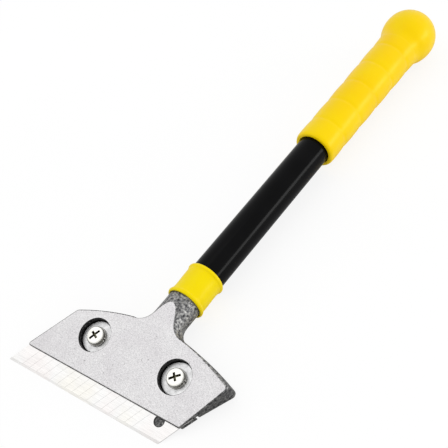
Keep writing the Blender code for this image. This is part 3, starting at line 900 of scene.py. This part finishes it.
def drive_bar(turn, top, full_length):
    """One bar of the driver's slots: narrower and shorter towards its bottom."""
    bm = bmesh.new()
    levels = ((0.5, 1.0, 1.0), (-DRIVE_DEPTH, 0.6, 0.75))
    loops = []
    for z, length, width in levels:
        half_x = full_length * length / 2
        half_y = DRIVE_WIDTH * width / 2
        corners = [(-half_x, -half_y), (half_x, -half_y), (half_x, half_y), (-half_x, half_y)]
        loops.append([bm.verts.new((x, y, top + z)) for x, y in corners])
    for k in range(4):
        n = (k + 1) % 4
        bm.faces.new((loops[0][k], loops[0][n], loops[1][n], loops[1][k]))
    bm.faces.new(loops[0])
    bm.faces.new(reversed(loops[1]))
    bmesh.ops.rotate(bm, matrix=Matrix.Rotation(turn, 3, 'Z'), verts=bm.verts)
    return bm


def screw(side, x, turn, material):
    head = stack_heights()[2]
    body = turned(screw_profile(head), 64, thread)
    top = head + HEAD_HEIGHT
    bars = []
    for k, length in enumerate(DRIVE_LENGTHS):
        bars.append(('DIFFERENCE', drive_bar(turn + k * math.pi / 2, top, length)))
    bm = carve(body, *bars)
    place = HEAD @ Matrix.Translation((x, SCREW_Y, 0))
    return piece(f"pan_screw_{side}", bm, place, [material], f"{side}_screw",
                 [f"screw_{side}"], sharp=35)


def soft_ring(outer, inner, low, high, soft):
    """Section of a ring whose four corners are broken."""
    return [(inner, low + soft), (inner + soft, low), (outer - soft, low), (outer, low + soft),
            (outer, high - soft), (outer - soft, high), (inner + soft, high), (inner, high - soft)]


def flat_washer(side, x, material):
    low = stack_heights()[0]
    bm = turned(soft_ring(FLAT_RADIUS, WASHER_BORE, low, low + FLAT_HEIGHT, 0.12), 72)
    place = HEAD @ Matrix.Translation((x, SCREW_Y, 0))
    return piece(f"plain_washer_{side}", bm, place, [material], f"{side}_screw",
                 [f"flat_washer_{side}"], sharp=50)


def split_washer(side, x, material):
    """A ring with a slanting cut, sprung a little apart at its ends."""
    low = stack_heights()[1]
    section = soft_ring(SPLIT_RADIUS, WASHER_BORE, low, low + SPLIT_HEIGHT, 0.14)
    middle = (SPLIT_RADIUS + WASHER_BORE) / 2
    half_cut = 0.35 / middle
    rings = []
    steps = 72
    for k in range(steps + 1):
        a = half_cut + (2 * math.pi - 2 * half_cut) * k / steps
        spring = 0.1 * (k / steps - 0.5)
        ring = []
        for radius, z in section:
            slant = 0.25 * (z - low) / SPLIT_HEIGHT / middle
            ring.append((radius * math.cos(a + slant), radius * math.sin(a + slant), z + spring))
        rings.append(ring)
    place = HEAD @ Matrix.Translation((x, SCREW_Y, 0))
    return piece(f"spring_washer_{side}", loft(rings), place, [material], f"{side}_screw",
                 [f"split_washer_{side}"], sharp=50)


# ---------------------------------------------------------------- handle

def tube(paint):
    """Painted tube, with its ends broken."""
    profile = soft_ring(TUBE_RADIUS, TUBE_BORE, TUBE_START, TUBE_END, 0.25)
    return piece("black_tube", turned(profile), HANDLE, [paint], "handle_and_head",
                 ["handle_tube"])


def half_round(start, low_radius, high_radius, length, steps=8):
    """Half-round swelling of a sleeve."""
    points = []
    for k in range(steps + 1):
        t = k / steps
        swell = math.sin(math.pi * t) ** 0.8
        points.append((low_radius + (high_radius - low_radius) * swell, start + length * t))
    return points


def uneven_sleeve(turn, z, radius):
    """The soft sleeve follows the tube loosely between its two beads."""
    if radius < COLLAR_RADIUS - 0.3:
        return 0.0
    share = (z - COLLAR_START) / (COLLAR_END - COLLAR_START)
    inside = smooth_step((share - 0.08) / 0.15) * smooth_step((0.92 - share) / 0.15)
    wander = noise.noise(Vector((1.3 * math.cos(turn), 1.3 * math.sin(turn), z * 0.11)))
    return inside * COLLAR_WANDER * wander


def collar(plastic):
    bore = TUBE_RADIUS + GAP
    edge = COLLAR_BEAD_RADIUS - COLLAR_BEAD_HEIGHT
    profile = [(bore, COLLAR_START), *half_round(COLLAR_START, edge, COLLAR_BEAD_RADIUS, COLLAR_BEAD)]
    body_start = COLLAR_START + COLLAR_BEAD + COLLAR_STEP
    body_end = COLLAR_END - COLLAR_BEAD - COLLAR_STEP
    steps = 24
    for k in range(steps + 1):
        t = k / steps
        waist = COLLAR_WAIST * math.sin(math.pi * t)
        profile.append((COLLAR_RADIUS - waist, body_start + (body_end - body_start) * t))
    profile += half_round(COLLAR_END - COLLAR_BEAD, edge, COLLAR_BEAD_RADIUS, COLLAR_BEAD)
    profile.append((bore, COLLAR_END))
    bm = turned(profile, SEGMENTS, uneven_sleeve)
    return piece("yellow_collar", bm, HANDLE, [plastic], "handle_and_head",
                 ["collar"], sharp=60)


def grip_radius(at):
    """Outer radius in front of the ball: a gentle taper, ring grooves and swellings between them."""
    along = (at - GRIP_START) / (BALL_NECK_AT - GRIP_START)
    radius = GRIP_RADIUS + GRIP_TAPER * max(0.0, along - GRIP_TAPER_FROM) ** 1.2
    lead_in = max(0.0, 1 - (at - GRIP_START) / LEAD_IN)
    radius -= LEAD_IN_DEPTH * lead_in ** 2
    place_in_step = (at - RING_FIRST) / RING_STEP
    if place_in_step < RING_COUNT - 0.5:
        radius += SEGMENT_SWELL * math.sin(math.pi * place_in_step) ** 2
    for k in range(RING_COUNT):
        off = (at - RING_FIRST - k * RING_STEP) / RING_HALF_WIDTH
        radius -= RING_DEPTH * math.exp(-off * off)
    return radius


def grip_and_ball(at):
    """The grip runs into the ball through a soft hollow."""
    ball = math.sqrt(max(0.0, BALL_RADIUS ** 2 - (at - BALL_AT) ** 2))
    front = grip_radius(min(at, BALL_NECK_AT))
    softness = 3.0
    both = (front + ball + math.sqrt((front - ball) ** 2 + softness ** 2)) / 2
    if at < BALL_AT - BALL_BLEND:
        return both
    plain = max(front, ball)
    return plain + (both - plain) * (BALL_AT - at) / BALL_BLEND


def grip(plastic):
    bore = TUBE_RADIUS + GAP
    profile = [(0, GRIP_BORE_END), (bore, GRIP_BORE_END), (bore, GRIP_START + 0.3), (bore + 0.3, GRIP_START)]
    steps = 150
    for k in range(steps):
        at = GRIP_START + (BALL_AT - GRIP_START) * k / steps
        profile.append((grip_and_ball(at), at))
    turns = 24
    for k in range(turns):
        a = math.pi / 2 * k / turns
        profile.append((BALL_RADIUS * math.cos(a), BALL_AT + BALL_RADIUS * math.sin(a)))
    profile.append((0, BALL_AT + BALL_RADIUS))
    return piece("yellow_grip", turned(profile), HANDLE, [plastic], "handle_and_head",
                 ["grip"], sharp=60)


def joint_pin(steel):
    """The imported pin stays; it only needs its finish."""
    node = frame["nodes"]["joint_pin"]
    node.data.materials.clear()
    node.data.materials.append(steel)


# ---------------------------------------------------------------- stage

# The camera is placed in the head's frame.
CAMERA_AT = HEAD @ Vector((316.01, -16.97, 412.52))
CAMERA_TARGET = HEAD @ Vector((53.48, 104.04, -18.69))
CAMERA_UP = (HEAD.to_3x3() @ Vector((-0.32878, 0.83805, 0.43540))).normalized()
CAMERA_LENS = 79.47


def camera():
    data = bpy.data.cameras.new("camera")
    data.lens = CAMERA_LENS
    data.sensor_width = 36.0
    data.clip_start = 0.01
    back = (CAMERA_AT - CAMERA_TARGET).normalized()
    right = CAMERA_UP.cross(back).normalized()
    up = back.cross(right)
    obj = bpy.data.objects.new("camera", data)
    obj.matrix_world = Matrix.Translation(CAMERA_AT) @ Matrix((right, up, back)).transposed().to_4x4()
    bpy.context.scene.collection.objects.link(obj)
    bpy.context.scene.camera = obj


def area_light(name, towards, distance, width, height, radiance):
    """A soft panel that faces the middle of the tool from a direction."""
    data = bpy.data.lights.new(name, 'AREA')
    data.shape = 'RECTANGLE'
    data.size = width
    data.size_y = height
    data.energy = radiance * math.pi * width * height
    obj = bpy.data.objects.new(name, data)
    way = Vector(towards).normalized()
    obj.matrix_world = Matrix.Translation(way * distance) @ way.to_track_quat('Z', 'Y').to_matrix().to_4x4()
    obj.visible_camera = False
    bpy.context.scene.collection.objects.link(obj)


def world():
    """Even studio surroundings: white behind the tool, dimmer as a source of light."""
    shade = bpy.data.worlds.new("studio")
    shade.use_nodes = True
    nodes = shade.node_tree.nodes
    links = shade.node_tree.links
    lit = nodes["Background"]
    lit.inputs["Color"].default_value = (1.0, 1.0, 1.0, 1.0)
    lit.inputs["Strength"].default_value = 0.8
    seen = nodes.new("ShaderNodeBackground")
    seen.inputs["Color"].default_value = (1.0, 1.0, 1.0, 1.0)
    seen.inputs["Strength"].default_value = 1.0
    path = nodes.new("ShaderNodeLightPath")
    mix = nodes.new("ShaderNodeMixShader")
    links.new(path.outputs["Is Camera Ray"], mix.inputs[0])
    links.new(lit.outputs[0], mix.inputs[1])
    links.new(seen.outputs[0], mix.inputs[2])
    links.new(mix.outputs[0], nodes["World Output"].inputs[0])
    bpy.context.scene.world = shade


def floor():
    """A pale sheet that the tool lies on, lit so that it reads white with a faint shadow."""
    bm = bmesh.new()
    bmesh.ops.create_grid(bm, x_segments=8, y_segments=8, size=4.0)
    mesh = bpy.data.meshes.new("floor")
    bm.to_mesh(mesh)
    bm.free()
    s = Surface("pale_floor", 0.7, 0.0)
    s.colour(s.ramp(s.noise(9, 2.0), (0.3, (0.80, 0.80, 0.80)), (0.7, (0.83, 0.83, 0.83))))
    glow = s.add("ShaderNodeEmission", {"Strength": FLOOR_GLOW})
    path = s.add("ShaderNodeLightPath")
    seen = s.sum(path.outputs["Is Camera Ray"], FLOOR_GLOW_SHARE, 'MULTIPLY')
    mix = s.add("ShaderNodeMixShader", {0: seen, 1: s.shader.outputs[0], 2: glow.outputs[0]})
    s.links.new(mix.outputs[0], s.nodes["Material Output"].inputs[0])
    mesh.materials.append(s.material)
    obj = bpy.data.objects.new("floor", mesh)
    bpy.context.scene.collection.objects.link(obj)


def studio():
    area_light("key", towards=(-0.38, -0.12, 0.92), distance=1.1, width=1.2, height=1.2, radiance=0.42)
    area_light("side", towards=(0.83, 0.50, 0.16), distance=1.0, width=0.6, height=0.24, radiance=5.0)
    world()
    floor()
    bpy.context.scene.view_settings.view_transform = 'Standard'


# ---------------------------------------------------------------- build

face = ground_aluminium()
# The sides' and clamp's copy at 0.42, darker than the neck's 0.85, is painted shade.
skin = cast_aluminium("aluminium_skin_painted_shade", 0.42)
bright = nickel()
# The split washers' near-black colour is painted shade and their bright edges are painted highlight.
dark = painted_shade_washer()
zinc = zinc_plate()
# The recess walls' copy at 0.16 is painted shade: the walls are darkened where the recess is in shade.
wall = cast_aluminium("aluminium_wall_painted_shade", 0.16)
head_casting([face, cast_aluminium("aluminium_neck", 0.85), milled_aluminium(), skin, wall])
clamp_plate([skin])
blade(blade_steel())
for side, x, turn in zip(("left", "right"), SCREW_X, DRIVE_TURNS):
    screw(side, x, math.radians(turn), bright)
    split_washer(side, x, dark)
    flat_washer(side, x, zinc)
tube(black_paint())
collar(yellow_plastic("yellow_vinyl", (0.95, 0.68, 0.0), (0.97, 0.76, 0.0), 1500, 0.42))
grip(yellow_plastic("yellow_moulding", (1.0, 0.64, 0.0), (1.0, 0.72, 0.0), 1100, 0.33))
joint_pin(worn_steel())
camera()
studio()
